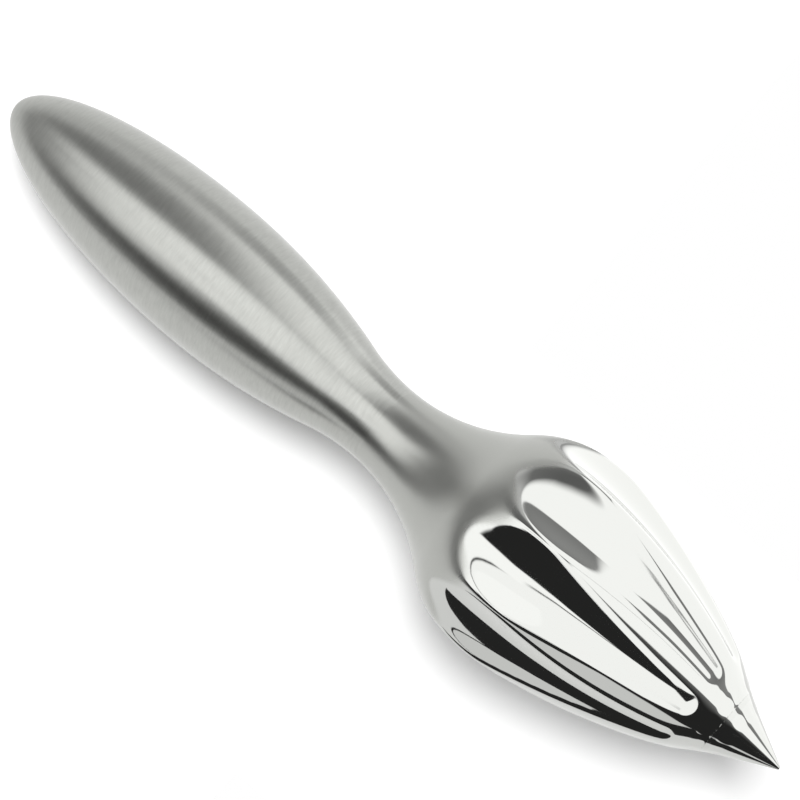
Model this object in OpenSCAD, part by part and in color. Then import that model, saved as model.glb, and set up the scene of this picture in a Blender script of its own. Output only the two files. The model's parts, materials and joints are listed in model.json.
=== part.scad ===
// Hand citrus reamer of stainless steel: a hollow spindle handle, a waisted neck and a fluted conical
// head that ends in a plain turned point. Every piece is drawn about the tool's own axis, from the butt
// end at 0 up to the point, and is then laid down on the handle's belly and on two ridges of the head.
// Outlines are drawn as [radius, distance from the butt end].

/* [Handle] */
// Largest diameter of the handle, at its belly
handle_diameter = 26.2; // [23:0.2:30]
// Distance from the butt end to the belly
butt_length = 46; // [38:0.5:54]
// Distance from the belly to the neck
belly_to_neck = 41.5; // [34:0.5:50]
// Radius of the hollow curve that leads from the handle into the neck
handle_neck_radius = 38; // [24:1:60]
// Wall of the pressed handle shells
handle_wall = 1.2; // [0.8:0.1:1.8]

/* [Neck] */
// Diameter of the neck at its narrowest
neck_diameter = 15; // [12.6:0.2:18]
// Radius of the hollow curve that leads from the neck into the head
head_neck_radius = 32; // [24:0.5:36]
// Length of the locating sleeve inside the neck
sleeve_length = 16; // [10:1:22]
// Wall of the locating sleeve
sleeve_wall = 1; // [0.6:0.1:1.6]

/* [Head] */
// Diameter of the head over its ridges, at the widest place
head_diameter = 41.4; // [38:0.2:46]
// Distance from the neck to the widest place
neck_to_widest = 35.5; // [33:0.5:40]
// Distance from the widest place to the nose face
widest_to_nose = 40.5; // [36:0.5:46]
// Radius of the long swelling curve of the flank
flank_radius = 130; // [100:1:180]
// Diameter of the nose face
nose_diameter = 12.6; // [12.4:0.2:15]
// Length of the bevel round the nose face
nose_bevel_length = 4.5; // [2:0.1:6]
// Depth of that bevel, measured straight in towards the tool's axis
nose_bevel_depth = 3.4; // [2:0.1:4.4]
// Length of the solid nose in front of the hollow core
nose_thickness = 8; // [6:0.5:11]
// Wall between the hollow core and the floors of the flutes
head_wall = 2.2; // [1.4:0.1:3]

/* [Flutes] */
// Number of flutes round the head
flute_count = 9; // [7:1:11]
// Distance from the widest place back to where a flute runs out on the shoulder
flute_run_out = 10; // [7:0.5:12]
// Distance from the nose face back to where a flute's rounded end begins
flute_end_margin = 6.5; // [6:0.5:10]
// Depth of a flute half way along
flute_depth = 1.7; // [1.3:0.1:2.2]
// Depth of a flute where its rounded end begins
flute_end_depth = 0.4; // [0.3:0.1:0.7]
// Radius of a flute's hollow at the shoulder, measured straight out from the tool's axis
flute_top_radius = 24; // [20:0.5:28]
// Radius of a flute's hollow at its rounded end, measured the same way
flute_tip_radius = 4; // [3:0.1:5]

/* [Point] */
// Diameter of the point at its base
point_diameter = 12.4; // [10:0.2:12.6]
// Length of the point in front of the nose face
point_length = 11.5; // [8:0.5:15]
// Diameter of the small flat that blunts the point
point_flat = 0.6; // [0.4:0.1:1.6]
// Diameter of the spigot behind the point
spigot_diameter = 7; // [5:0.2:8]

/* [Welds and fits] */
// Width of the ground weld that joins the two handle shells
seam_width = 1.6; // [1:0.1:3]
// Width of the ground ring weld at the neck
neck_weld_width = 1.2; // [0.8:0.1:2.4]
// Width of the ground ring weld at the base of the point
point_weld_width = 0.8; // [0.4:0.1:1.6]
// Clearance on the radius of the sleeve and of the spigot
fit_clearance = 0.05; // [0.02:0.01:0.15]

/* [Hidden] */

// Steps round a full circle in the preview
$fn = 180;
// Steps along the rounded butt end, along the other curves of the handle, and along those of the head
butt_steps = 24;
handle_steps = 14;
head_steps = 11;
// How far a cutting block reaches past what it cuts
cut_spare = 1;
// Halvings when the angle at which the tool lies is worked out, between two limits in degrees
lie_halvings = 40;
lie_lowest = 0;
lie_highest = 25;

satin_colour = "#b9bbbc";
polished_colour = "#d9dbdc";
mill_colour = "#9a9c9d";

// Radii of the pieces
handle_r = handle_diameter / 2;
neck_r = neck_diameter / 2;
head_r = head_diameter / 2;
nose_r = nose_diameter / 2;
point_r = point_diameter / 2;
point_flat_r = point_flat / 2;
spigot_r = spigot_diameter / 2;
throat_r = neck_r - handle_wall;
sleeve_r = throat_r - fit_clearance;

// Stations along the axis
neck_z = butt_length + belly_to_neck;
widest_z = neck_z + neck_to_widest;
nose_z = widest_z + widest_to_nose;
bevel_z = nose_z - nose_bevel_length;
core_end_z = nose_z - nose_thickness;
tool_length = nose_z + point_length;
shell_end_z = neck_z - neck_weld_width / 2;
head_start_z = neck_z + neck_weld_width / 2;
sleeve_start_z = neck_z - sleeve_length / 2;
sleeve_end_z = neck_z + sleeve_length / 2;
point_start_z = nose_z + point_weld_width;

// Sum of the radii of two arcs that meet at a tangent and span a length and a drop
function arc_pair(span, drop) = (span * span + drop * drop) / (2 * drop);

// From belly to neck: a swelling arc, then a hollow one, which meet where the outline has turned most
handle_arcs = arc_pair(belly_to_neck, handle_r - neck_r);
belly_radius = handle_arcs - handle_neck_radius;
handle_turn = asin(belly_to_neck / handle_arcs);
belly_centre = [handle_r - belly_radius, butt_length];
handle_hollow_centre = [neck_r + handle_neck_radius, neck_z];

// From neck to widest place: a hollow arc, then the shoulder's swelling one
head_arcs = arc_pair(neck_to_widest, head_r - neck_r);
shoulder_radius = head_arcs - head_neck_radius;
shoulder_turn = asin(neck_to_widest / head_arcs);
shoulder_centre = [head_r - shoulder_radius, widest_z];
head_hollow_centre = [neck_r + head_neck_radius, neck_z];

// The flank's arc leaves the shoulder's at a tangent and ends at the rim of the nose bevel
nose_rim = [nose_r + nose_bevel_depth, bevel_z];
nose_reach = nose_rim - shoulder_centre;
flank_offset = flank_radius - shoulder_radius;
flank_cosine = (pow(flank_radius, 2) - pow(flank_offset, 2) - nose_reach * nose_reach)
    / (2 * flank_offset * norm(nose_reach));
flank_turn = atan2(nose_reach[1], nose_reach[0]) - acos(flank_cosine);
flank_centre = shoulder_centre - flank_offset * [cos(flank_turn), sin(flank_turn)];

// Radius of an arc's outline at a station
function arc_r(centre, radius, z) = centre[0] + sqrt(pow(radius, 2) - pow(z - centre[1], 2));

// Centre of the circle through three points of an outline
function centre_through(a, b, c) =
    let (ab = b - a, ac = c - a, twice_area = 2 * (ab[0] * ac[1] - ab[1] * ac[0]))
    a + [ac[1] * (ab * ab) - ab[1] * (ac * ac), ab[0] * (ac * ac) - ac[0] * (ab * ab)] / twice_area;

// The floor of a flute is an arc through its run-out, its middle and the start of its rounded end
flute_start_z = widest_z - flute_run_out;
flute_end_z = nose_z - flute_end_margin;
flute_middle_z = (flute_start_z + flute_end_z) / 2;
floor_start = [arc_r(shoulder_centre, shoulder_radius, flute_start_z), flute_start_z];
floor_middle = [arc_r(flank_centre, flank_radius, flute_middle_z) - flute_depth, flute_middle_z];
floor_end = [arc_r(flank_centre, flank_radius, flute_end_z) - flute_end_depth, flute_end_z];
floor_centre = centre_through(floor_start, floor_middle, floor_end);
floor_radius = norm(floor_start - floor_centre);

// A flute is the hollow left by a waisted spindle whose own axis leans in over the head's flank
spindle_start = floor_start + [flute_top_radius, 0];
spindle_end = floor_end + [flute_tip_radius, 0];
spindle_along = (spindle_end - spindle_start) / norm(spindle_end - spindle_start);
spindle_across = [-spindle_along[1], spindle_along[0]];
spindle_lean = atan2(spindle_along[0], spindle_along[1]);

// A point of the outline as [distance from the spindle's axis, distance along it]
function on_spindle(p) = [(p - spindle_start) * spindle_across, (p - spindle_start) * spindle_along];

// How far a ridge reaches down beside the flute that lies underneath, as a share of its radius
floor_r_widest = arc_r(floor_centre, floor_radius, widest_z);
spindle_r_widest = spindle_start[0] + (widest_z - flute_start_z) * tan(spindle_lean);
hollow_r_widest = (spindle_r_widest - floor_r_widest) * pow(cos(spindle_lean), 2);
hollow_centre_r = floor_r_widest + hollow_r_widest;
ridge_reach = (pow(head_r, 2) + pow(hollow_centre_r, 2) - pow(hollow_r_widest, 2))
    / (2 * head_r * hollow_centre_r);

// How far the handle and the head reach below the butt end of the axis when it rises at an angle
function handle_below(rise) = norm([butt_length * sin(rise), handle_r * cos(rise)]) - butt_length * sin(rise);
function head_below(rise) =
    ridge_reach * shoulder_centre[0] * cos(rise) - widest_z * sin(rise)
    + shoulder_radius * norm([ridge_reach * cos(rise), sin(rise)]);

// The angle at which both reach equally far down, found by halving
function lie(low, high, steps) =
    let (middle = (low + high) / 2)
    steps == 0 ? middle
    : head_below(middle) > handle_below(middle) ? lie(middle, high, steps - 1)
    : lie(low, middle, steps - 1);

lie_angle = lie(lie_lowest, lie_highest, lie_halvings);
axis_height = handle_below(lie_angle);
butt_x = butt_length * cos(lie_angle) - norm([butt_length * cos(lie_angle), handle_r * sin(lie_angle)]);
point_x = tool_length * cos(lie_angle) + point_flat_r * sin(lie_angle);
middle_x = (butt_x + point_x) / 2;

// Lays a piece that is drawn about the tool's axis down on the floor, with a flute underneath
module lay_down() {
    translate([-middle_x, 0, axis_height])
        rotate([0, 90 - lie_angle, 0])
            children();
}

// Points along an arc, from one angle to another
function arc_points(centre, radius, from, to, steps) = [
    for (i = [0 : steps])
        let (a = from + (to - from) * i / steps)
        centre + radius * [cos(a), sin(a)]
];

// A list without its first entry, and a list turned round
function tail(list) = [for (i = [1 : len(list) - 1]) list[i]];
function turned_round(list) = [for (i = [len(list) - 1 : -1 : 0]) list[i]];

// Outline of the handle from its butt end to the ring weld, drawn smaller by an inset
function handle_points(inset) =
    let (
        hollow_radius = handle_neck_radius + inset,
        last = asin((neck_z - shell_end_z) / hollow_radius),
        butt = [
            for (i = [0 : butt_steps])
                let (a = 90 * i / butt_steps)
                [(handle_r - inset) * sin(a), butt_length - (butt_length - inset) * cos(a)]
        ],
        belly = arc_points(belly_centre, belly_radius - inset, 0, handle_turn, handle_steps),
        hollow = arc_points(handle_hollow_centre, hollow_radius, 180 + handle_turn, 180 + last, handle_steps)
    )
    concat(butt, tail(belly), tail(hollow));

// Section through the handle's wall
module handle_section() {
    polygon(concat(handle_points(0), turned_round(handle_points(handle_wall))));
}

// Block as wide as the seam, through the whole handle
module seam_block() {
    translate([-seam_width / 2, -handle_r - cut_spare, -cut_spare])
        cube([seam_width, handle_diameter + 2 * cut_spare, neck_z + 2 * cut_spare]);
}

// One pressed half of the handle, on the side that the turn about the axis gives
module handle_shell(turn) {
    color(satin_colour)
        lay_down()
            difference() {
                rotate([0, 0, turn])
                    rotate_extrude(angle = 180)
                        handle_section();
                seam_block();
            }
}

module handle_shell_upper() {
    handle_shell(90);
}

module handle_shell_lower() {
    handle_shell(-90);
}

// Weld along both sides of the handle and round its butt end, ground flush
module handle_seam_weld() {
    color(satin_colour)
        lay_down()
            intersection() {
                rotate_extrude()
                    handle_section();
                seam_block();
            }
}

// A ring about the axis
module ring(outer_r, inner_r, start_z, end_z) {
    rotate_extrude()
        translate([inner_r, start_z])
            square([outer_r - inner_r, end_z - start_z]);
}

// Sleeve that lines the head up with the handle and backs the ring weld
module neck_sleeve() {
    color(mill_colour)
        lay_down()
            ring(sleeve_r, sleeve_r - sleeve_wall, sleeve_start_z, sleeve_end_z);
}

// Weld round the neck, ground flush
module neck_ring_weld() {
    color(satin_colour)
        lay_down()
            ring(neck_r, throat_r, shell_end_z, head_start_z);
}

// Outline of the unfluted head from the ring weld to the nose bevel, drawn smaller by an inset
function head_points(inset) =
    let (
        hollow_radius = head_neck_radius + inset,
        swell_radius = shoulder_radius - inset,
        long_radius = flank_radius - inset,
        first = asin((head_start_z - neck_z) / hollow_radius),
        last = asin((bevel_z - flank_centre[1]) / long_radius),
        hollow = arc_points(head_hollow_centre, hollow_radius, 180 - first, 180 - shoulder_turn, head_steps),
        shoulder = arc_points(shoulder_centre, swell_radius, -shoulder_turn, flank_turn, head_steps),
        flank = arc_points(flank_centre, long_radius, flank_turn, last, head_steps)
    )
    concat(hollow, tail(shoulder), tail(flank));

// Hollow core of the head: it keeps one wall to the outside and to the floors of the flutes
module core_outline() {
    intersection() {
        polygon(concat([[0, head_start_z]], head_points(head_wall), [[0, bevel_z]]));
        translate(floor_centre)
            circle(floor_radius - head_wall);
        square([head_r, core_end_z]);
    }
}

// Outline of the spindle that hollows a flute, with a ball end towards the point
module spindle_outline() {
    ball = on_spindle(floor_end);
    difference() {
        square([2 * flute_top_radius, ball[1]]);
        translate(on_spindle(floor_centre))
            circle(floor_radius);
    }
    intersection() {
        translate([0, ball[1]])
            circle(ball[0]);
        translate([0, ball[1]])
            square(ball[0]);
    }
}

// The head's outside with some of its flutes, cut one after another
module fluted_head(flutes) {
    if (flutes == 0)
        rotate_extrude()
            polygon(concat([[0, head_start_z]], head_points(0), [[nose_r, nose_z], [0, nose_z]]));
    else
        difference() {
            fluted_head(flutes - 1);
            rotate([0, 0, flutes * 360 / flute_count])
                translate([spindle_start[0], 0, spindle_start[1]])
                    rotate([0, spindle_lean, 0])
                        rotate_extrude()
                            spindle_outline();
        }
}

// Cast head, open at the neck for the sleeve and at the nose for the spigot
module reamer_head() {
    color(polished_colour)
        lay_down()
            difference() {
                fluted_head(flute_count);
                rotate_extrude()
                    core_outline();
                translate([0, 0, head_start_z - cut_spare])
                    cylinder(h = sleeve_end_z - head_start_z + cut_spare, r = throat_r);
                translate([0, 0, core_end_z - cut_spare])
                    cylinder(h = nose_thickness + 2 * cut_spare, r = spigot_r + fit_clearance);
            }
}

// Radius of the point at a station
function point_r_at(z) = point_r + (point_flat_r - point_r) * (z - nose_z) / point_length;

// Weld round the base of the point, ground to the point's slope
module point_ring_weld() {
    color(polished_colour)
        lay_down()
            rotate_extrude()
                polygon([
                    [spigot_r, nose_z], [point_r, nose_z],
                    [point_r_at(point_start_z), point_start_z], [spigot_r, point_start_z]
                ]);
}

// Turned point with the spigot that plugs the nose
module point() {
    color(polished_colour)
        lay_down()
            rotate_extrude()
                polygon([
                    [0, core_end_z], [spigot_r, core_end_z], [spigot_r, point_start_z],
                    [point_r_at(point_start_z), point_start_z], [point_flat_r, tool_length], [0, tool_length]
                ]);
}

handle_shell_upper();
handle_shell_lower();
handle_seam_weld();
neck_sleeve();
neck_ring_weld();
reamer_head();
point_ring_weld();
point();
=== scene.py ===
"""Stainless steel hand reamer for citrus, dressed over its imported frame.

The handle is brushed to a satin round its axis, and the fluted head and the point are mirror polished.
Every surface is worked out as radius, turn about the tool's axis and station along it from the butt end.
"""

import json
from types import SimpleNamespace

import bmesh
import bpy
import numpy as np
from bpy.props import FloatProperty, FloatVectorProperty, IntProperty, PointerProperty
from mathutils import Euler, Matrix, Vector


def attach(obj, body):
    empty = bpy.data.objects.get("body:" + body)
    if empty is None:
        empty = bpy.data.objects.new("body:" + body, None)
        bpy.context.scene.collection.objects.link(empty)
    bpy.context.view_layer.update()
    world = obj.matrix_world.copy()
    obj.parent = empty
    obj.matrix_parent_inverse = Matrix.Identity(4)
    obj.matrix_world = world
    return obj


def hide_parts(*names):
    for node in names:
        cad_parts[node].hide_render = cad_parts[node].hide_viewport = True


bl_info = {
    "name": "Citrus reamer",
    "version": (1, 0, 0),
    "blender": (4, 5, 0),
    "location": "3D View > Sidebar > Reamer",
    "description": "Builds a satin and mirror-polished steel citrus reamer over its packed frame",
    "category": "Object",
}

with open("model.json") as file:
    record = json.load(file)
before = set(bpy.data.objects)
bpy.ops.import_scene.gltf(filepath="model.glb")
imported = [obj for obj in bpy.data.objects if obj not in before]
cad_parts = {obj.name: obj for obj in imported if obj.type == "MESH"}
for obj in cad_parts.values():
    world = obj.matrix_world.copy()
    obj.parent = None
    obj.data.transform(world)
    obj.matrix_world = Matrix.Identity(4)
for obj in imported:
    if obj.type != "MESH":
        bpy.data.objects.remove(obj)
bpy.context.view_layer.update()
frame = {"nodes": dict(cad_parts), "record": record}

MM = 0.001
BODY = "root"
TURNING_MAP = "turning"
POLISH_LAYER = "polish"

# The grip gives the place of the belly and the way of the tool's axis, from the butt end to the point
GRIP = next(mount for mount in frame["record"]["mounts"] if mount["name"] == "handle_grip")
ALONG = np.array(GRIP["axis"]) / np.linalg.norm(GRIP["axis"])
DOWN = np.array([ALONG[2], 0.0, -ALONG[0]])
ACROSS = np.array([0.0, 1.0, 0.0])
RISE = float(np.arctan2(ALONG[2], ALONG[0]))

# Two points closer than this are one point of a piece, and a fold sharper than this is an edge
WELD_GAP = 1e-7
SHARP_FOLD = np.radians(33)

# Steps round the plain pieces and round one flute, then steps along the curves
ROUND_STEPS = 180
FLUTE_STEPS = 38
BUTT_STEPS = 48
ARC_STEPS = 40
WALL_STEPS = 4
SIDE_STEPS = 8
RING_STEPS = 16
CORE_STEPS = 32
POINT_STEPS = 48
HALVINGS = 40

# How strongly the head's columns crowd towards the ridges. Its rows are counted in four runs, split before
# and after the flutes' tops and before their rounded ends.
RIDGE_CROWDING = 0.8
HEAD_ROWS = (40, 44, 56, 60)
TOP_ZONE = 5 * MM
END_ZONE = 4 * MM

# Where the polish comes in, from where a flute runs out, and over what length, with what a ridge adds. The
# weld at the point is buffed a little less than the steel beside it.
POLISH_PLACE = -0.3 * MM
POLISH_PLACE_RIDGE = 5 * MM
POLISH_PASSAGE = 0.7 * MM
POLISH_PASSAGE_RIDGE = 2.6 * MM
WELD_POLISH = 0.88

# Dents beside the point's weld: depth of one wave, width of their band, and each wave's count and start
DENT_DEPTH = 0.02 * MM
DENT_BAND = 2.6 * MM
DENT_WAVES = ((5, 0.7), (11, 2.1), (17, 4.0), (23, 1.2))

# Turns of the belt's two passes, share of the second one, size and share of the clouds, the lines' colour
# in their hollows, darker as painted shade, and on their crests, paler as painted sheen, and their depth
BELT_TURNS = (0.0, 0.16)
SECOND_PASS = 0.45
BELT_CLOUDS = 9 * MM
CLOUD_SHARE = 0.3
LINE_SHADE_AND_SHEEN = (0.75, 1.25)
LINE_DEPTH = 0.002 * MM

# Length and depth of the waves from the buffing wheel, and size of the clouds on the drawn tube
WHEEL_WAVES = 7 * MM
WAVE_DEPTH = 0.02 * MM
MILL_CLOUDS = 2 * MM

# The spans that most values of the patterns lie in, how far the patterns move the roughness, and how far the
# reflections stretch
LINE_SPAN = (0.3, 0.7)
WAVE_SPAN = (0.3, 0.75)
SATIN_SPREAD = 0.02
WAVE_DULLING = 2.0
MILL_SPREAD = 0.1
SATIN_STRETCH = 0.7
MIRROR_STRETCH = 0.3

# How far the floor reaches, and the corners beside the head from which it is cut away, near and far
FLOOR_REACH = 4.0
NEAR_CORNER = (20 * MM, -60 * MM)
FAR_CORNER = (8 * MM, 30 * MM)

# Height of what the camera looks at, its shift in shares of the picture, and its nearest and furthest sight
AIM_HEIGHT = 9.88 * MM
CAMERA_SHIFT = (0.0204, 0.0394)
CAMERA_SIGHT = (0.01, 20.0)

# Height at which the wall behind the tool has become the ceiling, how softly that wall begins at its sides,
# and the least height that a direction is divided by
WALL_TOP = 0.85
WALL_EDGE = 0.15
LEAST_HEIGHT = 1e-4

# Soft panels overhead. Each has its share of the light and its edges. An edge has weights for the reach
# along the tool and across it, the least weighted sum inside the edge, and how softly the edge ends. Narrow
# gaps between panels show as thin dark lines in the flutes. A reach below the horizon runs into the
# thousands, so a least sum of -60 keeps a panel off the near side there, and one of 300 puts it on the far.
PANELS = (
    (0.97, ((0.375, 1, -0.80, 0.02), (-0.75, -1, 0.60, 0.02), (-1, 0, -1.2, 0.02), (1, 0, -1.3, 0.5))),
    (0.97, ((0, 1, -0.76, 0.02), (0, -1, 0.46, 0.02), (-1, 0, 0.0, 0.05), (1, 0, -1.3, 0.6))),
    (0.97, ((-0.9, 1, -0.62, 0.05), (0, -1, 0.46, 0.02), (-1, 0, 0.42, 0.06), (1, 0, -1.3, 0.6))),
    (
        0.93,
        (
            (0.75, 1, -0.56, 0.02),
            (-0.5, -1, -0.2, 0.03),
            (-1, 0, -1.2, 0.03),
            (0.52, -1, -0.185, 0.015),
            (1, 0, -1.1, 0.4),
        ),
    ),
    (0.95, ((-0.08, 1, 0.02, 0.02), (0.52, -1, -0.185, 0.015), (1, 0, 0.2, 0.03))),
    (0.95, ((1, 0.33, -0.02, 0.06), (-0.52, 1, 0.2, 0.015), (0, -1, -2.2, 0.1), (-1, 0, -0.66, 0.04))),
    (0.95, ((1, 0, 0.54, 0.04), (-0.52, 1, 0.2, 0.015), (0, -1, -1.25, 0.06))),
    (0.95, ((1, -0.07, 0.06, 0.12), (0, 1, 2.6, 0.2), (1, 0, 0.54, 0.04))),
    (0.95, ((1, -0.07, 0.06, 0.12), (-0.52, 1, 0.2, 0.015), (-1, 0, -0.66, 0.04))),
    (0.95, ((1, 0, 1.1, 0.03), (-0.08, 1, 0.02, 0.02), (0, -1, -1.25, 0.06))),
    (0.16, ((-1, 0, 1.5, 1.1), (0, -1, -0.1, 0.2), (0, 1, -60, 1))),
    (0.56, ((1.5, -1, 3.3, 0.1), (-0.8, -1, 1.0, 0.1), (0, 1, -60, 1))),
    (0.95, ((0, 1, 300, 10), (1, 0.2, 0, 500))),
    (0.97, ((0.2, -1, -0.22, 0.05), (-1, 0, -0.1, 0.05), (1, 0, -0.75, 0.25), (0, 1, -0.28, 0.05))),
    (0.44, ((-1, -0.25, 0.0, 0.3), (0, 1, 1.2, 0.5))),
)


def linear(code):
    """Linear red, green and blue of an sRGB hex colour."""
    shares = np.array([int(code[i : i + 2], 16) for i in (1, 3, 5)]) / 255
    return tuple(np.where(shares <= 0.04045, shares / 12.92, ((shares + 0.055) / 1.055) ** 2.4))


def length(name, description, millimetres):
    """A length in metres, given in millimetres."""
    return FloatProperty(
        name=name, description=description, default=millimetres * MM, min=0, unit="LENGTH", precision=5
    )


def share(name, description, default, highest=1.0):
    """A plain number from nought up."""
    return FloatProperty(
        name=name, description=description, default=default, min=0, max=highest, subtype="FACTOR"
    )


def colour(name, description, code):
    """A colour, given as an sRGB hex value."""
    return FloatVectorProperty(
        name=name, description=description, default=linear(code), size=3, min=0, max=1, subtype="COLOR"
    )


def angle(name, description, degrees):
    """An angle in radians, given in degrees."""
    radians = float(np.radians(degrees))
    return FloatProperty(name=name, description=description, default=radians, subtype="ANGLE")


class ReamerSizes(bpy.types.PropertyGroup):
    """Sizes of the reamer, the same ones that its solids are drawn from."""

    handle_diameter: length("Handle diameter", "Largest diameter of the handle, at its belly", 26.2)
    butt_length: length("Butt length", "Distance from the butt end to the belly", 46)
    belly_to_neck: length("Belly to neck", "Distance from the belly to the neck", 41.5)
    handle_neck_radius: length("Handle hollow", "Radius of the hollow curve from handle to neck", 38)
    handle_wall: length("Handle wall", "Wall of the pressed handle shells", 1.2)
    neck_diameter: length("Neck diameter", "Diameter of the neck at its narrowest", 15)
    head_neck_radius: length("Head hollow", "Radius of the hollow curve from neck to head", 32)
    sleeve_length: length("Sleeve length", "Length of the locating sleeve inside the neck", 16)
    head_diameter: length("Head diameter", "Diameter over the ridges at the widest place", 41.4)
    neck_to_widest: length("Neck to widest", "Distance from the neck to the head's widest place", 35.5)
    widest_to_nose: length("Widest to nose", "Distance from the widest place to the nose face", 40.5)
    flank_radius: length("Flank radius", "Radius of the long swelling curve of the flank", 130)
    nose_diameter: length("Nose diameter", "Diameter of the nose face", 12.6)
    nose_bevel_length: length("Nose bevel length", "Length of the bevel round the nose face", 4.5)
    nose_bevel_depth: length("Nose bevel depth", "Depth of that bevel, straight in to the axis", 3.4)
    nose_thickness: length("Nose thickness", "Length of the solid nose in front of the hollow core", 8)
    head_wall: length("Head wall", "Wall between the hollow core and the flutes", 2.2)
    flute_count: IntProperty(name="Flutes", description="Number of flutes round the head", default=9, min=3)
    flute_run_out: length("Flute run-out", "From the widest place back to where a flute runs out", 10)
    flute_end_margin: length("Flute end", "From the nose face back to a flute's rounded end", 6.5)
    flute_depth: length("Flute depth", "Depth of a flute half way along", 1.7)
    flute_end_depth: length("Flute end depth", "Depth of a flute where its rounded end begins", 0.4)
    flute_top_radius: length("Flute top radius", "Radius of a flute's hollow at the shoulder", 24)
    flute_tip_radius: length("Flute tip radius", "Radius of a flute's hollow at its rounded end", 4)
    rim_softness: length("Rim softness", "How far polishing has rounded the rims of the flutes", 0.35)
    point_diameter: length("Point diameter", "Diameter of the point at its base", 12.4)
    point_length: length("Point length", "Length of the point in front of the nose face", 11.5)
    point_flat: length("Point flat", "Diameter of the small flat that blunts the point", 0.6)
    spigot_diameter: length("Spigot diameter", "Diameter of the spigot behind the point", 7)
    seam_width: length("Seam width", "Width of the ground weld between the handle shells", 1.6)
    neck_weld_width: length("Neck weld width", "Width of the ground ring weld at the neck", 1.2)
    point_weld_width: length("Point weld width", "Width of the ground ring weld at the point", 0.8)
    fit_clearance: length("Clearance", "Clearance on the radius of the sleeve and the spigot", 0.05)


class ReamerFinish(bpy.types.PropertyGroup):
    """Colours and surface qualities of the steel."""

    satin_colour: colour("Satin steel", "Colour of the brushed stainless steel", "#ADAEAA")
    polished_colour: colour("Polished steel", "Colour of the mirror-polished stainless steel", "#BFC0BD")
    mill_colour: colour("Mill steel", "Colour of the unfinished steel tube inside the neck", "#A9AAA8")
    satin_roughness: share("Satin roughness", "Roughness of the brushed steel", 0.3)
    polished_roughness: share("Polished roughness", "Roughness of the mirror-polished steel", 0.03)
    mill_roughness: share("Mill roughness", "Roughness of the unfinished steel tube", 0.42)
    brush_spacing: length("Brush spacing", "Distance between the brush lines round the handle", 0.35)
    brush_stroke: length("Brush stroke", "Length of a brush line", 2.6)


class ReamerStage(bpy.types.PropertyGroup):
    """Camera, floor and studio light."""

    camera_azimuth: angle("Camera azimuth", "Turn of the camera round the tool", 42.1)
    camera_elevation: angle("Camera elevation", "Height of the camera above the floor", 80)
    camera_distance: length("Camera distance", "Distance from the camera to the tool's axis", 450)
    camera_lens: FloatProperty(
        name="Camera lens", description="Focal length of the camera", default=117.2, min=1, unit="CAMERA"
    )
    floor_colour: colour("Floor", "Colour of the floor", "#F6F6F6")
    panel_light: share("Panel light", "Strength of the studio's soft panels", 1.8, 4)
    back_light: share("Back light", "Strength of the wall behind the tool, at its foot", 0.45, 4)
    top_light: share("Top light", "Strength of that wall where it turns into the ceiling", 0.15, 4)
    front_light: share("Front light", "Strength of the dark side of the studio", 0.03, 4)
    floor_lamp: share("Floor lamp", "Strength of the soft overhead lamp that lights the floor", 2.45, 20)
    lamp_angle: angle("Lamp angle", "How wide the overhead lamp is, seen from the floor", 26)
    lamp_tilt: angle("Lamp tilt", "How far the overhead lamp leans to the top of the picture", 5)
    floor_fill: share("Floor fill", "Strength of the even light that falls on the floor", 0.15, 4)
    floor_glow: share("Floor glow", "How much paler the floor looks to the camera and in the steel", 0.2, 4)


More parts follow.
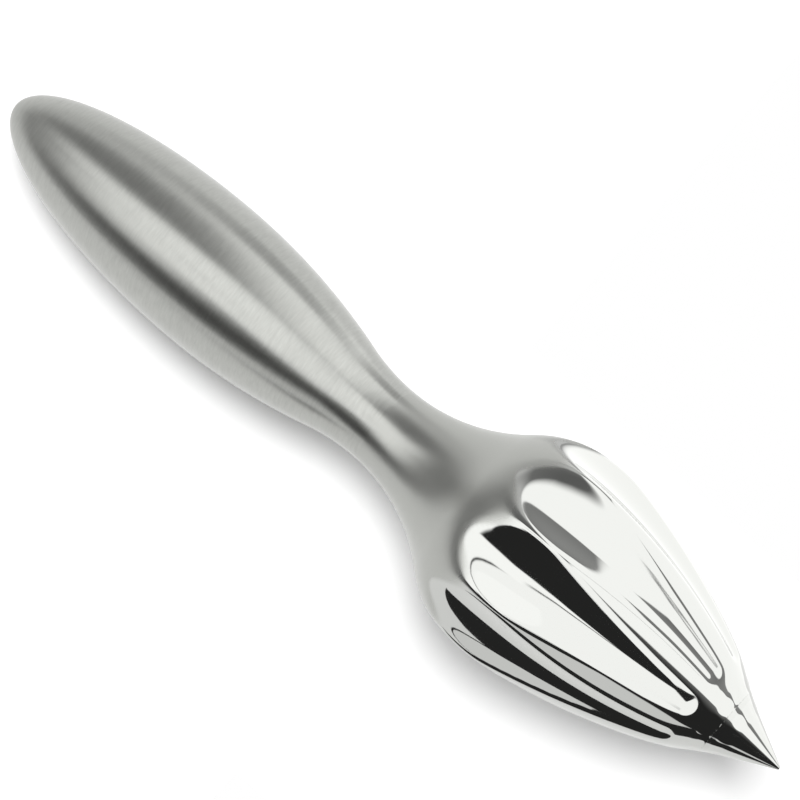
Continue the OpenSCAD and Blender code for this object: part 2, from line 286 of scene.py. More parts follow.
def tool_form(sizes):
    """Radii, stations and arc centres worked out from the sizes.

    Two arcs that meet at a tangent and span a length and a drop have radii that add up to the length squared
    plus the drop squared, over twice the drop. The flank's arc touches the shoulder's and ends at the nose
    rim. The floor of a flute is the circle through its run-out, its middle and the start of its rounded end.
    """
    form = SimpleNamespace()
    form.butt_end = np.array(GRIP["pos_m"]) - ALONG * sizes.butt_length
    form.handle_r = sizes.handle_diameter / 2
    form.neck_r = sizes.neck_diameter / 2
    form.head_r = sizes.head_diameter / 2
    form.nose_r = sizes.nose_diameter / 2
    form.point_r = sizes.point_diameter / 2
    form.flat_r = sizes.point_flat / 2
    form.spigot_r = sizes.spigot_diameter / 2
    form.throat_r = form.neck_r - sizes.handle_wall

    form.neck = sizes.butt_length + sizes.belly_to_neck
    form.widest = form.neck + sizes.neck_to_widest
    form.nose = form.widest + sizes.widest_to_nose
    form.bevel = form.nose - sizes.nose_bevel_length
    form.core_end = form.nose - sizes.nose_thickness
    form.tip = form.nose + sizes.point_length
    form.shell_end = form.neck - sizes.neck_weld_width / 2
    form.head_start = form.neck + sizes.neck_weld_width / 2
    form.sleeve_end = form.neck + sizes.sleeve_length / 2
    form.point_start = form.nose + sizes.point_weld_width
    form.flute_start = form.widest - sizes.flute_run_out
    form.flute_end = form.nose - sizes.flute_end_margin

    handle_drop = form.handle_r - form.neck_r
    handle_arcs = (sizes.belly_to_neck**2 + handle_drop**2) / (2 * handle_drop)
    form.belly_radius = handle_arcs - sizes.handle_neck_radius
    form.handle_turn = np.arcsin(sizes.belly_to_neck / handle_arcs)

    head_rise = form.head_r - form.neck_r
    head_arcs = (sizes.neck_to_widest**2 + head_rise**2) / (2 * head_rise)
    form.shoulder_radius = head_arcs - sizes.head_neck_radius
    form.shoulder_start = form.neck + sizes.head_neck_radius * sizes.neck_to_widest / head_arcs
    form.shoulder_centre = np.array([form.head_r - form.shoulder_radius, form.widest])

    reach = np.array([form.nose_r + sizes.nose_bevel_depth, form.bevel]) - form.shoulder_centre
    offset = sizes.flank_radius - form.shoulder_radius
    cosine = (sizes.flank_radius**2 - offset**2 - reach @ reach) / (2 * offset * np.linalg.norm(reach))
    flank_turn = np.arctan2(reach[1], reach[0]) - np.arccos(cosine)
    form.flank_start = form.widest + form.shoulder_radius * np.sin(flank_turn)
    form.flank_centre = form.shoulder_centre - offset * np.array([np.cos(flank_turn), np.sin(flank_turn)])

    stations = np.array([form.flute_start, (form.flute_start + form.flute_end) / 2, form.flute_end])
    depths = np.array([0, sizes.flute_depth, sizes.flute_end_depth])
    floor = np.stack([head_radius(stations, sizes, form) - depths, stations], axis=1)
    chords = floor[1:] - floor[0]
    form.floor_centre = floor[0] + np.linalg.solve(2 * chords, np.sum(chords**2, axis=1))
    form.floor_radius = np.linalg.norm(floor[0] - form.floor_centre)

    form.spindle_start = floor[0] + np.array([sizes.flute_top_radius, 0])
    spindle = floor[2] + np.array([sizes.flute_tip_radius, 0]) - form.spindle_start
    form.spindle_along = spindle / np.linalg.norm(spindle)
    form.spindle_across = np.array([-form.spindle_along[1], form.spindle_along[0]])
    form.ball_start = on_spindle(*floor[2], form)[1]
    return form


def swell(station, centre, radius):
    """Radius of an outline that swells out in an arc: the centre's plus the arc's height there."""
    return centre[0] + np.sqrt(np.maximum(radius**2 - (station - centre[1]) ** 2, 0))


def hollow(station, waist, middle, radius):
    """Radius of an outline hollowed by an arc: the waist's plus the arc's rise since its middle."""
    return waist + radius - np.sqrt(np.maximum(radius**2 - (station - middle) ** 2, 0))


def head_radius(station, sizes, form):
    """Radius of the unfluted head: a hollow arc out of the neck, the shoulder's arc, then the flank's."""
    neck = hollow(station, form.neck_r, form.neck, sizes.head_neck_radius)
    shoulder = swell(station, form.shoulder_centre, form.shoulder_radius)
    flank = swell(station, form.flank_centre, sizes.flank_radius)
    return np.select([station < form.shoulder_start, station < form.flank_start], [neck, shoulder], flank)


def on_spindle(radius, station, form):
    """Distance from the axis of the spindle that hollows a flute, and distance along that axis."""
    out, up = radius - form.spindle_start[0], station - form.spindle_start[1]
    across = out * form.spindle_across[0] + up * form.spindle_across[1]
    along = out * form.spindle_along[0] + up * form.spindle_along[1]
    return across, along


def flute_radius(station, turn, form):
    """Radius at which a ray from the tool's axis meets the waisted spindle of the flute at turn 0.

    The spindle's own radius is the distance from its axis to the floor circle, and it ends in a ball that
    carries on its outline without a fold, as polishing leaves it. The place where a point is as far from the
    spindle's axis as that radius is found by halving. Rays that pass beside the spindle get a radius that is
    out of the head's reach.
    """
    middle, height = on_spindle(*form.floor_centre, form)
    ball_rise = np.sqrt(form.floor_radius**2 - (form.ball_start - height) ** 2)
    ball_slope = (form.ball_start - height) / ball_rise
    ball_centre = form.ball_start + (middle - ball_rise) * ball_slope
    ball_radius = (middle - ball_rise) * np.hypot(1, ball_slope)
    axis_lean = form.spindle_along[0] / form.spindle_along[1]
    axis_radius = form.spindle_start[0] + (station - form.spindle_start[1]) * axis_lean

    def outside(radius):
        """How far a point lies outside the spindle."""
        across, along = on_spindle(radius * np.cos(turn), station, form)
        away = np.hypot(across, radius * np.sin(turn))
        own = middle - np.sqrt(np.maximum(form.floor_radius**2 - (along - height) ** 2, 0))
        in_ball = along > form.ball_start + (away - middle + ball_rise) * -ball_slope
        return np.where(in_ball, np.hypot(away, along - ball_centre) - ball_radius, away - own)

    near, far = np.zeros_like(axis_radius), axis_radius * np.cos(turn)
    misses = outside(far) > 0
    for _ in range(HALVINGS):
        half = (near + far) / 2
        beyond = outside(half) < 0
        near, far = np.where(beyond, near, half), np.where(beyond, half, far)
    return np.where(misses, 2 * form.head_r, far)


def nose_radius(station, sizes, form):
    """Radius of the nose bevel and the point's cone, ground into each other: their smooth greatest."""
    bevel = form.nose_r + sizes.nose_bevel_depth * (form.nose - station) / sizes.nose_bevel_length
    cone = form.point_r + (form.flat_r - form.point_r) * (station - form.nose) / sizes.point_length
    return -soft_least([-bevel, -cone], sizes.rim_softness)


def soft_least(layers, softness):
    """Smooth least of surfaces: minus the softness times the log of the sum of their falling powers."""
    lowest = np.min(layers, axis=0)
    return lowest - softness * np.log(np.sum(np.exp((lowest - np.array(layers)) / softness), axis=0))


def lay_down(radius, turn, station, form):
    """Points in the shared frame for radius, turn and station.

    Each is the butt end, plus the station along the tool's axis, plus the radius times the cosine of the
    turn downwards and times its sine sideways, so that turn 0 faces the floor.
    """
    down, across = radius * np.cos(turn), radius * np.sin(turn)
    return form.butt_end + station[..., None] * ALONG + down[..., None] * DOWN + across[..., None] * ACROSS


def add_piece(name, material, patches, form, polish=None):
    """One closed piece from patches, each a grid of radius, turn and station, whose borders meet.

    Every patch becomes quads between neighbouring rows and columns. Points that meet are welded and the
    normals are turned outwards. The map holds station and turn, so its first direction runs along the tool.
    """
    points, faces, turning, first = [], [], [], 0
    for patch in patches:
        radius, turn, station = np.broadcast_arrays(*patch)
        index = first + np.arange(radius.size).reshape(radius.shape)
        corners = [index[:-1, :-1], index[:-1, 1:], index[1:, 1:], index[1:, :-1]]
        faces.append(np.stack(corners, axis=-1).reshape(-1, 4))
        points.append(lay_down(radius, turn, station, form).reshape(-1, 3))
        turning.append(np.stack([station / form.tip, turn / (2 * np.pi)], axis=-1).reshape(-1, 2))
        first += radius.size
    points, faces, turning = (np.concatenate(parts) for parts in (points, faces, turning))

    mesh = bpy.data.meshes.new(name)
    mesh.from_pydata(points.tolist(), [], faces.tolist())
    layer = mesh.uv_layers.new(name=TURNING_MAP)
    layer.data.foreach_set("uv", turning[faces.ravel()].astype(np.float32).ravel())
    if polish is not None:
        values = np.concatenate([np.ravel(part) for part in polish]).astype(np.float32)
        mesh.attributes.new(POLISH_LAYER, "FLOAT", "POINT").data.foreach_set("value", values)
    work = bmesh.new()
    work.from_mesh(mesh)
    bmesh.ops.remove_doubles(work, verts=work.verts, dist=WELD_GAP)
    bmesh.ops.recalc_face_normals(work, faces=work.faces)
    loose = [edge for edge in work.edges if not edge.is_manifold]
    work.to_mesh(mesh)
    work.free()
    if loose:
        raise RuntimeError(f"{name} is not closed: {len(loose)} open edges")
    mesh.shade_smooth()
    mesh.set_sharp_from_angle(angle=SHARP_FOLD)
    mesh.materials.append(material)

    piece = bpy.data.objects.new(f"{name}_finish", mesh)
    bpy.context.scene.collection.objects.link(piece)
    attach(piece, BODY)
    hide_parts(name)


def joined(*runs):
    """Runs of values one after another, each without the first value where it repeats the last one."""
    return np.concatenate([runs[0], *(run[1:] for run in runs[1:])])


def handle_outline(sizes, form, inset, first_radius):
    """Radii and stations of the handle's outline, smaller by an inset, from a first radius to the ring weld.

    The butt is a half ellipse, the belly a swelling arc and the neck a hollow arc.
    """
    butt_r, butt_length = form.handle_r - inset, sizes.butt_length - inset
    belly_r, hollow_r = form.belly_radius - inset, sizes.handle_neck_radius + inset
    butt = np.linspace(np.arcsin(first_radius / butt_r), np.pi / 2, BUTT_STEPS)
    belly = np.linspace(0, form.handle_turn, ARC_STEPS)
    last = np.arcsin((form.neck - form.shell_end) / hollow_r)
    waist = np.linspace(form.handle_turn, last, ARC_STEPS)
    radius = joined(
        butt_r * np.sin(butt),
        form.handle_r - form.belly_radius + belly_r * np.cos(belly),
        form.neck_r + sizes.handle_neck_radius - hollow_r * np.cos(waist),
    )
    station = joined(
        sizes.butt_length - butt_length * np.cos(butt),
        sizes.butt_length + belly_r * np.sin(belly),
        form.neck - hollow_r * np.sin(waist),
    )
    return radius, station


def between(first, last):
    """Rows that lead straight from one row of values to another."""
    weights = np.linspace(0, 1, WALL_STEPS)[:, None]
    return first[None, :] * (1 - weights) + last[None, :] * weights


def shell_patches(sizes, form, facing):
    """The walls of a pressed half shell whose middle faces a turn.

    Each row of the outer and the inner wall runs from one flat side of the seam to the other, so it spans
    the angles whose cosine is the seam's half width over the radius. Straight rows close the sides and the
    neck.
    """
    half_seam = sizes.seam_width / 2
    across = np.linspace(-1, 1, ROUND_STEPS // 2)
    walls = []
    for inset in (0, sizes.handle_wall):
        radius, station = handle_outline(sizes, form, inset, half_seam)
        spread = np.arccos(np.minimum(half_seam / radius, 1))
        rows = (radius[:, None], facing + spread[:, None] * across, station[:, None])
        walls.append(np.broadcast_arrays(*rows))
    closing = []
    for edge in ((slice(None), 0), (slice(None), -1), (-1, slice(None))):
        ends = [[part[edge] for part in wall] for wall in walls]
        flat = between(*(radius * np.cos(turn - facing) for radius, turn, _ in ends))
        side = between(*(radius * np.sin(turn - facing) for radius, turn, _ in ends))
        station = between(*(place for _, _, place in ends))
        closing.append((np.hypot(flat, side), facing + np.arctan2(side, flat), station))
    return [*walls, *closing]


def seam_patches(sizes, form):
    """The weld that fills the seam: a strip as wide as the seam along one side, round the butt and back.

    Near the butt a row keeps its distance sideways and takes its station from the half ellipse. Elsewhere a
    row keeps its station and takes its distance sideways from the radius.
    """
    half_seam = sizes.seam_width / 2
    across = np.linspace(-half_seam, half_seam, WALL_STEPS)[None, :]
    walls = []
    for inset in (0, sizes.handle_wall):
        butt_r, butt_length = form.handle_r - inset, sizes.butt_length - inset
        radius, station = handle_outline(sizes, form, inset, 0)
        radius, station = (np.concatenate([part[:0:-1], part]) for part in (radius, station))
        sign = np.where(np.arange(radius.size) < radius.size // 2, 1, -1)[:, None]
        radius, station = radius[:, None], station[:, None]
        near_butt = station < sizes.butt_length / 2
        sideways = sign * np.where(near_butt, radius, np.sqrt(np.maximum(radius**2 - across**2, 0)))
        reach = np.minimum(np.hypot(sideways, across) / butt_r, 1)
        rounded = sizes.butt_length - butt_length * np.sqrt(1 - reach**2)
        place = np.where(near_butt, rounded, station + 0 * across)
        walls.append((across + 0 * sideways, sideways, place))
    patches = [*walls]
    for edge in ((slice(None), 0), (slice(None), -1), (0, slice(None)), (-1, slice(None))):
        outer, inner = ([part[edge] for part in wall] for wall in walls)
        patches.append([between(*ends) for ends in zip(outer, inner)])
    return [(np.hypot(down, side), np.arctan2(side, down), station) for down, side, station in patches]


def turned(radius, station):
    """A patch that is turned about the axis from an outline."""
    turn = np.linspace(0, 2 * np.pi, ROUND_STEPS + 1)
    return radius[:, None], turn[None, :], station[:, None]


def outline_patches(corners):
    """Turned patches for the straight sides between the corners of a section."""
    patches = []
    for ends in zip(corners[:-1], corners[1:]):
        radius, station = (np.linspace(*values, SIDE_STEPS) for values in zip(*ends))
        patches.append(turned(radius, station))
    return patches


def even_polish(patches, value):
    """The same polish for every point of some patches."""
    return [np.full(np.broadcast_shapes(*(part.shape for part in patch)), value) for patch in patches]


def weld_dents(turn, station, start, end):
    """Shallow dents that hand grinding leaves beside a weld, as a change of radius.

    They are sine waves round the tool, added up and faded out by a squared sine at both ends of a band.
    """
    fade = np.sin(np.pi * np.clip((station - start) / (end - start), 0, 1)) ** 2
    return DENT_DEPTH * fade * sum(np.sin(count * turn + first) for count, first in DENT_WAVES)


def fluted_patch(sizes, form):
    """The head's outside from the ring weld to the nose face, and how far each point of it is polished.

    The radius is the smooth least of the unfluted outline, the nose bevel and the nearest three flutes.
    Columns crowd towards the ridges, by a sine added to their even spacing, and rows crowd where the flutes
    start and end. The polish rises in a smooth step, which lies further along and is longer on the ridges.
    """
    period = 2 * np.pi / sizes.flute_count
    even = np.linspace(-1, 1, FLUTE_STEPS + 1)
    crowded = (even + RIDGE_CROWDING * np.sin(np.pi * even) / np.pi) * period / 2
    before_tops, after_tops = form.flute_start - TOP_ZONE, form.flute_start + TOP_ZONE
    splits = (form.head_start, before_tops, after_tops, form.flute_end - END_ZONE, form.nose)
    station = joined(*(np.linspace(*run) for run in zip(splits[:-1], splits[1:], HEAD_ROWS)))[:, None]
    bevel = nose_radius(station, sizes, form)
    layers = [head_radius(station, sizes, form) + 0 * crowded, bevel + 0 * crowded]
    layers += [flute_radius(station, crowded[None, :] + side * period, form) for side in (-1, 0, 1)]
    one = soft_least(layers, sizes.rim_softness)
    one[-1] = bevel[-1]
    one[0] = head_radius(form.head_start, sizes, form)
    radius = np.concatenate([one[:, :-1]] * sizes.flute_count + [one[:, :1]], axis=1)
    turns = [crowded[:-1] + flute * period for flute in range(sizes.flute_count)]
    turn = np.concatenate(turns + [[crowded[0] + 2 * np.pi]])[None, :]
    radius = radius + weld_dents(turn, station, form.nose - DENT_BAND, form.nose)

    ridge = np.sin(turn * sizes.flute_count / 2) ** 2
    place = form.flute_start + POLISH_PLACE + ridge * POLISH_PLACE_RIDGE
    passage = POLISH_PASSAGE + ridge * POLISH_PASSAGE_RIDGE
    rise = np.clip((station - place) / passage + 0.5, 0, 1)
    return (radius, turn, station), rise**2 * (3 - 2 * rise)


def core_outline(sizes, form):
    """Radii and stations of the head's inside, from the nose back to the neck.

    The core keeps the head's wall to the unfluted outline and to the floors of the flutes, so its radius is
    the lesser of the two, between the sleeve's throat and the spigot's bore.
    """
    bore = form.spigot_r + sizes.fit_clearance
    nose = [(nose_radius(form.nose, sizes, form), form.nose), (bore, form.nose), (bore, form.core_end)]
    station = np.linspace(form.core_end, form.sleeve_end, CORE_STEPS)
    outside = head_radius(station, sizes, form) - sizes.head_wall
    floor = swell(station, form.floor_centre, form.floor_radius - sizes.head_wall)
    core = np.stack([np.minimum(outside, floor), station], axis=1)
    neck = [
        (form.throat_r, form.sleeve_end),
        (form.throat_r, form.head_start),
        (head_radius(form.head_start, sizes, form), form.head_start),
    ]
    return np.concatenate([nose, core, neck]).T


def node(tree, kind, inputs=None, **settings):
    """Adds a node with its settings, and fills its inputs with values or with links from other nodes."""
    made = tree.nodes.new(kind)
    for name, value in settings.items():
        setattr(made, name, value)
    for name, value in (inputs or {}).items():
        if isinstance(value, bpy.types.NodeSocket):
            tree.links.new(value, made.inputs[name])
        else:
            made.inputs[name].default_value = value
    return made


def new_material(name):
    """An empty node material and its tree."""
    material = bpy.data.materials.new(name)
    material.use_nodes = True
    material.node_tree.nodes.clear()
    return material, material.node_tree


def brush_lines(tree, finish, tilt):
    """Brush lines round the tool: noise that is short along the axis and long across it.

    The lines are drawn about three times as coarse as the real ones, which are too fine to show.
    """
    place = node(tree, "ShaderNodeTexCoord").outputs["Object"]
    laid = node(
        tree,
        "ShaderNodeMapping",
        {
            "Vector": place,
            "Rotation": (0, -RISE, tilt),
            "Scale": (finish.brush_spacing, finish.brush_stroke, finish.brush_stroke),
        },
        vector_type="TEXTURE",
    ).outputs["Vector"]
    lines = node(
        tree, "ShaderNodeTexNoise", {"Vector": laid, "Scale": 1.0, "Detail": 4.0, "Roughness": 0.6}
    )
    return lines.outputs["Fac"]


def satin_sheen(tree, finish, pattern):
    """Roughness of the satin, which a pattern moves up and down a little."""
    return node(
        tree,
        "ShaderNodeMapRange",
        {
            "Value": pattern,
            "From Min": LINE_SPAN[0],
            "From Max": LINE_SPAN[1],
            "To Min": finish.satin_roughness - SATIN_SPREAD,
            "To Max": finish.satin_roughness + SATIN_SPREAD,
        },
    ).outputs["Result"]


def brushed_metal(tree, tint, rough, stretch, relief):
    """The metal itself, whose reflections stretch along the tool because it is brushed round it."""
    way = node(tree, "ShaderNodeTangent", direction_type="UV_MAP", uv_map=TURNING_MAP)
    steel = node(
        tree,
        "ShaderNodeBsdfPrincipled",
        {
            "Base Color": tint,
            "Metallic": 1.0,
            "Roughness": rough,
            "Anisotropic": stretch,
            "Normal": relief,
            "Tangent": way.outputs["Tangent"],
        },
    )
    node(tree, "ShaderNodeOutputMaterial", {"Surface": steel.outputs["BSDF"]})


def satin_steel(finish):
    """Stainless steel, brushed round the axis with a fine belt.

    It gives a grey metal whose reflections blur along the tool and keep their edges round it, with short
    faint lines across the length and slight clouds where the belt pressed more or less. The lines' colour is
    painted darker in their hollows as shade and paler on their crests as sheen.
    """
    material, tree = new_material("brushed_stainless_steel")
    first, second = (brush_lines(tree, finish, tilt) for tilt in BELT_TURNS)
    lines = node(
        tree, "ShaderNodeMix", {"Factor": SECOND_PASS, "A": first, "B": second}, data_type="FLOAT"
    ).outputs["Result"]
    place = node(tree, "ShaderNodeTexCoord").outputs["Object"]
    clouds = node(
        tree, "ShaderNodeTexNoise", {"Vector": place, "Scale": 1 / BELT_CLOUDS, "Detail": 3.0}
    ).outputs["Fac"]
    uneven = node(
        tree, "ShaderNodeMix", {"Factor": CLOUD_SHARE, "A": lines, "B": clouds}, data_type="FLOAT"
    ).outputs["Result"]
    # The lines' hollows are painted darker as shade and their crests paler as sheen
    dark, pale = ((*(shade * part for part in finish.satin_colour), 1) for shade in LINE_SHADE_AND_SHEEN)
    tint = node(tree, "ShaderNodeMix", {"Factor": lines, "A": dark, "B": pale}, data_type="RGBA")
    relief = node(tree, "ShaderNodeBump", {"Height": lines, "Strength": 0.3, "Distance": LINE_DEPTH})
    rough = satin_sheen(tree, finish, uneven)
    brushed_metal(tree, tint.outputs["Result"], rough, SATIN_STRETCH, relief.outputs["Normal"])
    return material


def polished_steel(finish):
    """Stainless steel, buffed by hand to a mirror below the flutes' tops and left satin above them.

    It gives clear reflections with slight waves from the wheel, and over the shoulder it passes into the
    brushed finish of the handle.
    """
    material, tree = new_material("mirror_polished_stainless_steel")
    polish = node(tree, "ShaderNodeAttribute", attribute_name=POLISH_LAYER).outputs["Fac"]
    lines = brush_lines(tree, finish, BELT_TURNS[0])
    place = node(tree, "ShaderNodeTexCoord").outputs["Object"]
    waves = node(
        tree, "ShaderNodeTexNoise", {"Vector": place, "Scale": 1 / WHEEL_WAVES, "Detail": 1.0}
    ).outputs["Fac"]
    level = node(tree, "ShaderNodeMath", {0: waves, 1: 0.5}, operation="SUBTRACT").outputs["Value"]
    satin_rough = satin_sheen(tree, finish, lines)
    mirror_rough = node(
        tree,
        "ShaderNodeMapRange",
        {
            "Value": waves,
            "From Min": WAVE_SPAN[0],
            "From Max": WAVE_SPAN[1],
            "To Min": finish.polished_roughness,
            "To Max": WAVE_DULLING * finish.polished_roughness,
        },
    ).outputs["Result"]
    rough = node(
        tree, "ShaderNodeMix", {"Factor": polish, "A": satin_rough, "B": mirror_rough}, data_type="FLOAT"
    ).outputs["Result"]
    satin, bright = (*finish.satin_colour, 1), (*finish.polished_colour, 1)
    tint = node(tree, "ShaderNodeMix", {"Factor": polish, "A": satin, "B": bright}, data_type="RGBA")
    height = node(tree, "ShaderNodeMath", {0: polish, 1: level}, operation="MULTIPLY").outputs["Value"]
    relief = node(tree, "ShaderNodeBump", {"Height": height, "Strength": 1.0, "Distance": WAVE_DEPTH})
    brushed_metal(tree, tint.outputs["Result"], rough, MIRROR_STRETCH, relief.outputs["Normal"])
    return material


def mill_steel(finish):
    """Drawn stainless tube with its mill finish.

    It gives a duller grey with faint clouds from drawing and pickling.
    """
    material, tree = new_material("mill_finish_stainless_tube")
    place = node(tree, "ShaderNodeTexCoord").outputs["Object"]
    clouds = node(
        tree, "ShaderNodeTexNoise", {"Vector": place, "Scale": 1 / MILL_CLOUDS, "Detail": 4.0}
    ).outputs["Fac"]
    rough = node(
        tree,
        "ShaderNodeMapRange",
        {
            "Value": clouds,
            "To Min": finish.mill_roughness - MILL_SPREAD,
            "To Max": finish.mill_roughness + MILL_SPREAD,
        },
    ).outputs["Result"]
    steel = node(
        tree,
        "ShaderNodeBsdfPrincipled",
        {"Base Color": (*finish.mill_colour, 1), "Metallic": 1.0, "Roughness": rough},
    )
    node(tree, "ShaderNodeOutputMaterial", {"Surface": steel.outputs["BSDF"]})
    return material


made_materials = {}


def shared_material(make, finish):
    """The material that a function makes, made once."""
    if make.__name__ not in made_materials:
        made_materials[make.__name__] = make(finish)
    return made_materials[make.__name__]


class ReamerStep:
    """What every step of the build reads: the sizes, what follows from them, and the finish."""

    bl_options = {"REGISTER", "UNDO"}

    def read(self, context):
        """The sizes, the form worked out from them, and the finish."""
        sizes = context.scene.reamer_sizes
        return sizes, tool_form(sizes), context.scene.reamer_finish


class REAMER_OT_handle_shells(ReamerStep, bpy.types.Operator):
    """Builds the two pressed half shells of the handle"""

    bl_idname = "reamer.handle_shells"
    bl_label = "Handle shells"

    def execute(self, context):
        sizes, form, finish = self.read(context)
        steel = shared_material(satin_steel, finish)
        for name, facing in (("handle_shell_upper", np.pi), ("handle_shell_lower", 0.0)):
            add_piece(name, steel, shell_patches(sizes, form, facing), form)
        return {"FINISHED"}


class REAMER_OT_welds(ReamerStep, bpy.types.Operator):
    """Builds the ground welds of the handle's seam, the neck and the point"""

    bl_idname = "reamer.welds"
    bl_label = "Ground welds"

    def execute(self, context):
        sizes, form, finish = self.read(context)
        satin = shared_material(satin_steel, finish)
        add_piece("handle_seam_weld", satin, seam_patches(sizes, form), form)

        station = np.linspace(form.shell_end, form.head_start, RING_STEPS)
        before = hollow(station, form.neck_r, form.neck, sizes.handle_neck_radius)
        after = hollow(station, form.neck_r, form.neck, sizes.head_neck_radius)
        radius = np.where(station < form.neck, before, after)
        corners = [
            (radius[-1], form.head_start),
            (form.throat_r, form.head_start),
            (form.throat_r, form.shell_end),
            (radius[0], form.shell_end),
        ]
        patches = [turned(radius, station), *outline_patches(corners)]
        add_piece("neck_ring_weld", satin, patches, form)

        station = np.linspace(form.nose, form.point_start, SIDE_STEPS)
        radius = nose_radius(station, sizes, form)
        corners = [
            (radius[-1], form.point_start),
            (form.spigot_r, form.point_start),
            (form.spigot_r, form.nose),
            (radius[0], form.nose),
        ]
        patches = [turned(radius, station), *outline_patches(corners)]
        polished = shared_material(polished_steel, finish)
        polish = even_polish(patches, WELD_POLISH)
        add_piece("point_ring_weld", polished, patches, form, polish)
        return {"FINISHED"}


class REAMER_OT_neck_sleeve(ReamerStep, bpy.types.Operator):
    """Gives the locating sleeve inside the neck its mill finish"""

    bl_idname = "reamer.neck_sleeve"
    bl_label = "Neck sleeve"

    def execute(self, context):
        sleeve = frame["nodes"]["neck_sleeve"]
        sleeve.data.materials.clear()
        sleeve.data.materials.append(shared_material(mill_steel, context.scene.reamer_finish))
        return {"FINISHED"}


class REAMER_OT_head(ReamerStep, bpy.types.Operator):
    """Builds the hollow fluted head with its shoulder"""

    bl_idname = "reamer.head"
    bl_label = "Fluted head"

    def execute(self, context):
        sizes, form, finish = self.read(context)
        outside, polish = fluted_patch(sizes, form)
        radius, station = core_outline(sizes, form)
        inside = (radius[:, None], outside[1], station[:, None])
        steel = shared_material(polished_steel, finish)
        polish = [polish, *even_polish([inside], 0.0)]
        add_piece("reamer_head", steel, [outside, inside], form, polish)
        return {"FINISHED"}


class REAMER_OT_point(ReamerStep, bpy.types.Operator):
    """Builds the turned point with its spigot"""

    bl_idname = "reamer.point"
    bl_label = "Point"

    def execute(self, context):
        sizes, form, finish = self.read(context)
        station = np.linspace(form.point_start, form.tip, POINT_STEPS)
        radius = nose_radius(station, sizes, form)
        spigot = [
            (0, form.core_end),
            (form.spigot_r, form.core_end),
            (form.spigot_r, form.point_start),
            (radius[0], form.point_start),
        ]
        flat = [(radius[-1], form.tip), (0, form.tip)]
        radius, turn, station = turned(radius, station)
        radius = radius + weld_dents(turn, station, form.point_start, form.point_start + DENT_BAND)
        patches = [*outline_patches(spigot), (radius, turn, station), *outline_patches(flat)]
        steel = shared_material(polished_steel, finish)
        add_piece("point", steel, patches, form, even_polish(patches, 1.0))
        return {"FINISHED"}


def white_floor(stage):
    """Matt white table top.

    It gives a plain white ground, even and without gloss, that keeps soft shadows. The glow that makes it
    white is seen by the camera and in the steel, and lights nothing.
    """
    material, tree = new_material("matt_white_table")
    matt = node(tree, "ShaderNodeBsdfDiffuse", {"Color": (*stage.floor_colour, 1)})
    path = node(tree, "ShaderNodeLightPath").outputs
    rays = {0: path["Is Camera Ray"], 1: path["Is Glossy Ray"]}
    seen = node(tree, "ShaderNodeMath", rays, operation="MAXIMUM").outputs["Value"]
    strength = node(tree, "ShaderNodeMath", {0: seen, 1: stage.floor_glow}, operation="MULTIPLY")
    glow = node(tree, "ShaderNodeEmission", {"Strength": strength.outputs["Value"]})
    both = node(tree, "ShaderNodeAddShader", {0: matt.outputs["BSDF"], 1: glow.outputs["Emission"]})
    node(tree, "ShaderNodeOutputMaterial", {"Surface": both.outputs["Shader"]})
    return material


def studio_world(stage):
    """A studio by direction: soft panels overhead, a grey wall behind the tool and a dark side in front.

    A direction is divided by its height, so that an edge that is straight in the studio is straight there.
    The floor gets an even fill from all of it, and the camera sees white.
    """
    world = bpy.data.worlds.new("studio")
    bpy.context.scene.world = world
    world.use_nodes = True
    tree = world.node_tree
    tree.nodes.clear()
    way_in = node(tree, "ShaderNodeTexCoord").outputs["Generated"]
    way = node(tree, "ShaderNodeSeparateXYZ", {"Vector": way_in}).outputs
    height = node(tree, "ShaderNodeMath", {0: way["Z"], 1: LEAST_HEIGHT}, operation="MAXIMUM")
    reach_along, reach_across = (
        node(
            tree, "ShaderNodeMath", {0: way[axis], 1: height.outputs["Value"]}, operation="DIVIDE"
        ).outputs["Value"]
        for axis in "XY"
    )
    wall = node(
        tree,
        "ShaderNodeMapRange",
        {"Value": way["Z"], "From Max": WALL_TOP, "To Min": stage.back_light, "To Max": stage.top_light},
    ).outputs["Result"]
    behind = node(
        tree,
        "ShaderNodeMapRange",
        {"Value": way["Y"], "From Min": -WALL_EDGE, "From Max": WALL_EDGE},
        interpolation_type="SMOOTHSTEP",
    ).outputs["Result"]
    light = node(
        tree, "ShaderNodeMath", {0: wall, 1: behind, 2: stage.front_light}, operation="MULTIPLY_ADD"
    ).outputs["Value"]
    for level, edges in PANELS:
        panel = level * stage.panel_light
        for along, across, least, softness in edges:
            first = node(tree, "ShaderNodeMath", {0: reach_along, 1: along}, operation="MULTIPLY")
            both = node(
                tree,
                "ShaderNodeMath",
                {0: reach_across, 1: across, 2: first.outputs["Value"]},
                operation="MULTIPLY_ADD",
            ).outputs["Value"]
            edge = node(
                tree,
                "ShaderNodeMapRange",
                {"Value": both, "From Min": least - softness, "From Max": least + softness},
                interpolation_type="SMOOTHSTEP",
            ).outputs["Result"]
            panel = node(
                tree, "ShaderNodeMath", {0: panel, 1: edge}, operation="MULTIPLY"
            ).outputs["Value"]
        light = node(tree, "ShaderNodeMath", {0: light, 1: panel}, operation="MAXIMUM").outputs["Value"]
    path = node(tree, "ShaderNodeLightPath").outputs
    for ray, level in (("Is Diffuse Ray", stage.floor_fill), ("Is Camera Ray", 1.0)):
        light = node(
            tree, "ShaderNodeMix", {"Factor": path[ray], "A": light, "B": level}, data_type="FLOAT"
        ).outputs["Result"]
    sky = node(tree, "ShaderNodeBackground", {"Color": (1, 1, 1, 1), "Strength": light})
    node(tree, "ShaderNodeOutputWorld", {"Surface": sky.outputs["Background"]})


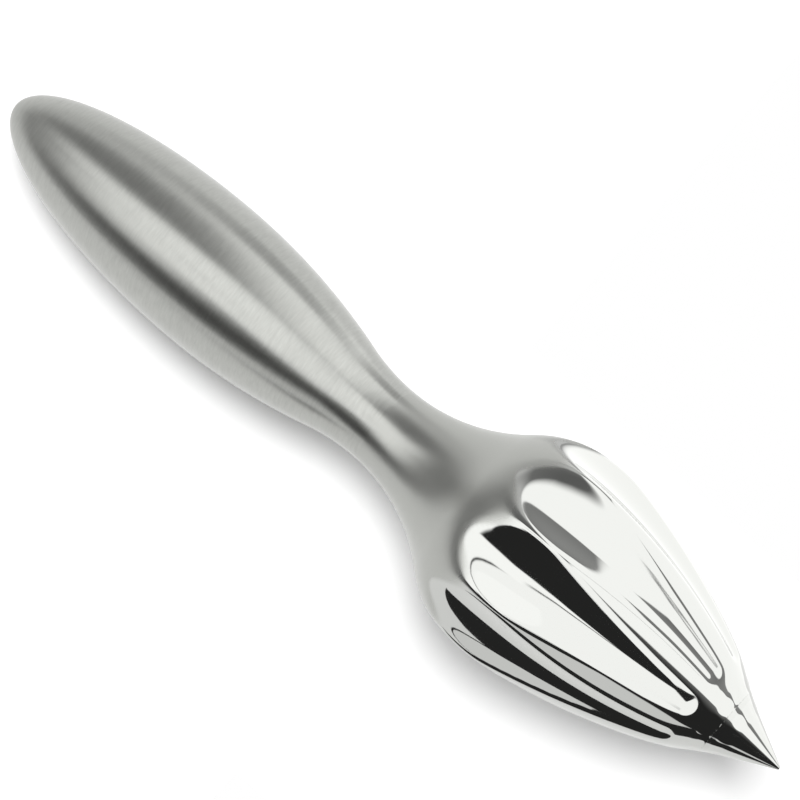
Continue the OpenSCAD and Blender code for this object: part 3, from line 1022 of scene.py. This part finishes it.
class REAMER_OT_stage(bpy.types.Operator):
    """Lays the floor, lights the studio and places the camera"""

    bl_idname = "reamer.stage"
    bl_label = "Stage"

    def execute(self, context):
        stage = context.scene.reamer_stage
        context.scene.view_settings.view_transform = "Standard"

        reach, near, far = FLOOR_REACH, NEAR_CORNER, FAR_CORNER
        corners = [(-reach, -reach), (near[0], -reach), near, (reach, near[1])]
        corners += [(reach, far[1]), far, (far[0], reach), (-reach, reach)]
        mesh = bpy.data.meshes.new("floor")
        mesh.from_pydata([(*corner, 0) for corner in corners], [], [range(len(corners))])
        mesh.materials.append(white_floor(stage))
        floor = bpy.data.objects.new("floor", mesh)
        context.scene.collection.objects.link(floor)

        studio_world(stage)

        lamp = bpy.data.lights.new("floor_lamp", "SUN")
        lamp.energy, lamp.angle = stage.floor_lamp, stage.lamp_angle
        overhead = bpy.data.objects.new("floor_lamp", lamp)
        overhead.rotation_euler = Euler((-stage.lamp_tilt, 0, stage.camera_azimuth))
        overhead.visible_glossy = False
        context.scene.collection.objects.link(overhead)

        lens = bpy.data.cameras.new("photo_camera")
        lens.lens = stage.camera_lens
        lens.shift_x, lens.shift_y = CAMERA_SHIFT
        lens.clip_start, lens.clip_end = CAMERA_SIGHT
        camera = bpy.data.objects.new("photo_camera", lens)
        context.scene.collection.objects.link(camera)
        turn, height = stage.camera_azimuth, stage.camera_elevation
        back = Vector((np.sin(turn) * np.cos(height), -np.cos(turn) * np.cos(height), np.sin(height)))
        camera.location = Vector((0, 0, AIM_HEIGHT)) + back * stage.camera_distance
        camera.rotation_euler = (-back).to_track_quat("-Z", "Y").to_euler()
        context.scene.camera = camera
        return {"FINISHED"}


class REAMER_PT_sidebar(bpy.types.Panel):
    """Sizes, finish and steps of the reamer"""

    bl_idname = "REAMER_PT_sidebar"
    bl_label = "Citrus reamer"
    bl_space_type = "VIEW_3D"
    bl_region_type = "UI"
    bl_category = "Reamer"

    def draw(self, context):
        for group in (context.scene.reamer_sizes, context.scene.reamer_finish, context.scene.reamer_stage):
            box = self.layout.box()
            for name in group.__annotations__:
                box.prop(group, name)
        for step in STEPS:
            self.layout.operator(step.bl_idname)


STEPS = (
    REAMER_OT_handle_shells,
    REAMER_OT_welds,
    REAMER_OT_neck_sleeve,
    REAMER_OT_head,
    REAMER_OT_point,
    REAMER_OT_stage,
)
CLASSES = (ReamerSizes, ReamerFinish, ReamerStage, *STEPS, REAMER_PT_sidebar)
GROUPS = {"reamer_sizes": ReamerSizes, "reamer_finish": ReamerFinish, "reamer_stage": ReamerStage}


def register():
    """Registers the classes and hangs the property groups on the scene."""
    for kind in CLASSES:
        bpy.utils.register_class(kind)
    for name, kind in GROUPS.items():
        setattr(bpy.types.Scene, name, PointerProperty(type=kind))


def unregister():
    """Takes the property groups and the classes away again."""
    for name in GROUPS:
        delattr(bpy.types.Scene, name)
    for kind in reversed(CLASSES):
        bpy.utils.unregister_class(kind)


def main():
    """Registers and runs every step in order."""
    register()
    bpy.ops.reamer.handle_shells()
    bpy.ops.reamer.welds()
    bpy.ops.reamer.neck_sleeve()
    bpy.ops.reamer.head()
    bpy.ops.reamer.point()
    bpy.ops.reamer.stage()


if __name__ == "__main__":
    main()
